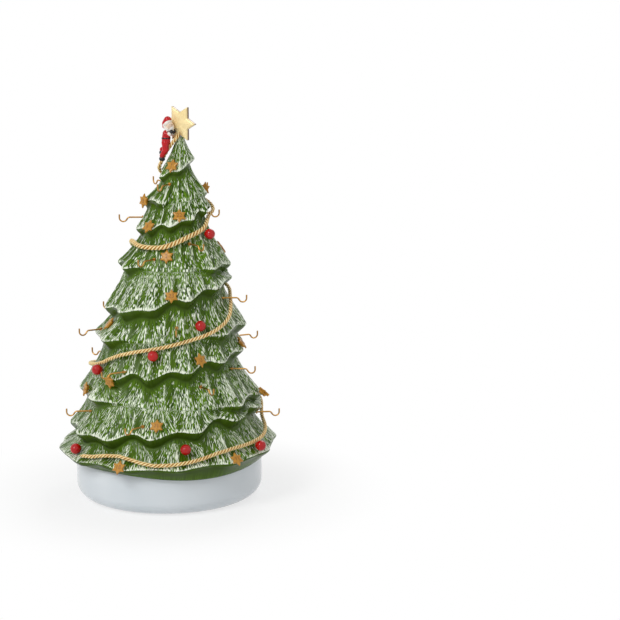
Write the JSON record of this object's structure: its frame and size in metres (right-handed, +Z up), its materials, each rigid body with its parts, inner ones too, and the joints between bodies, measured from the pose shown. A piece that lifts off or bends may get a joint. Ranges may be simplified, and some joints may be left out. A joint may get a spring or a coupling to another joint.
{
  "type": "advent calendar tree",
  "caption": "Glazed ceramic fir tree on a round white base, with wire hooks for ornaments, number stars, a rope garland, a climbing figure and a star on the tip.",
  "frame": {"origin": "centre of the felt under the base, on the surface that the tree stands on", "axes": "+Z up along the turntable's axis, -Y to the front, +X to the tree's right as seen from the front"},
  "size_m": [0.2448, 0.2421, 0.4282],
  "materials": {
    "green_glaze": "gloss green glaze with brushed white needle strokes",
    "white_glaze": "gloss white glaze",
    "gold_glaze": "gloss ochre glaze",
    "pale_gold_glaze": "gloss pale gold glaze with brown edges",
    "red_glaze": "gloss red glaze",
    "brass_wire": "drawn wire",
    "steel": "zinc plated",
    "nylon": "moulded",
    "floor_board": "moulded sheet",
    "foot_board": "sanded board",
    "felt": "pressed felt"
  },
  "bodies": {
    "base": {"base_drum": "white_glaze", "base_cover": "floor_board", "base_felt": "felt", "deck_bush": "nylon", "glide_ring": "nylon"},
    "tree": {"tree_shell": "green_glaze", "foot_disc": "foot_board", "spindle": "steel", "spindle_washer": "steel", "spindle_nut": "steel", "top_star": "pale_gold_glaze", "star_pin": "steel", "climbing_figure": "red_glaze", "garland": "gold_glaze", "baubles": "red_glaze", "number_stars_row_1": "gold_glaze", "number_stars_row_2": "gold_glaze", "number_stars_row_3": "gold_glaze", "number_stars_row_4": "gold_glaze", "hook_01": "brass_wire", "hook_02": "brass_wire", "hook_03": "brass_wire", "hook_04": "brass_wire", "hook_05": "brass_wire", "hook_06": "brass_wire", "hook_07": "brass_wire", "hook_08": "brass_wire", "hook_09": "brass_wire", "hook_10": "brass_wire", "hook_11": "brass_wire", "hook_12": "brass_wire", "hook_13": "brass_wire", "hook_14": "brass_wire", "hook_15": "brass_wire", "hook_16": "brass_wire", "hook_17": "brass_wire", "hook_18": "brass_wire", "hook_19": "brass_wire", "hook_20": "brass_wire", "hook_21": "brass_wire", "hook_22": "brass_wire", "hook_23": "brass_wire", "hook_24": "brass_wire"}
  },
  "joints": [
    {"name": "tree_turn", "type": "hinge", "parent": "base", "child": "tree", "pos_m": [0, 0, 0.05], "axis": [0, 0, 1], "continuous": true}
  ]
}
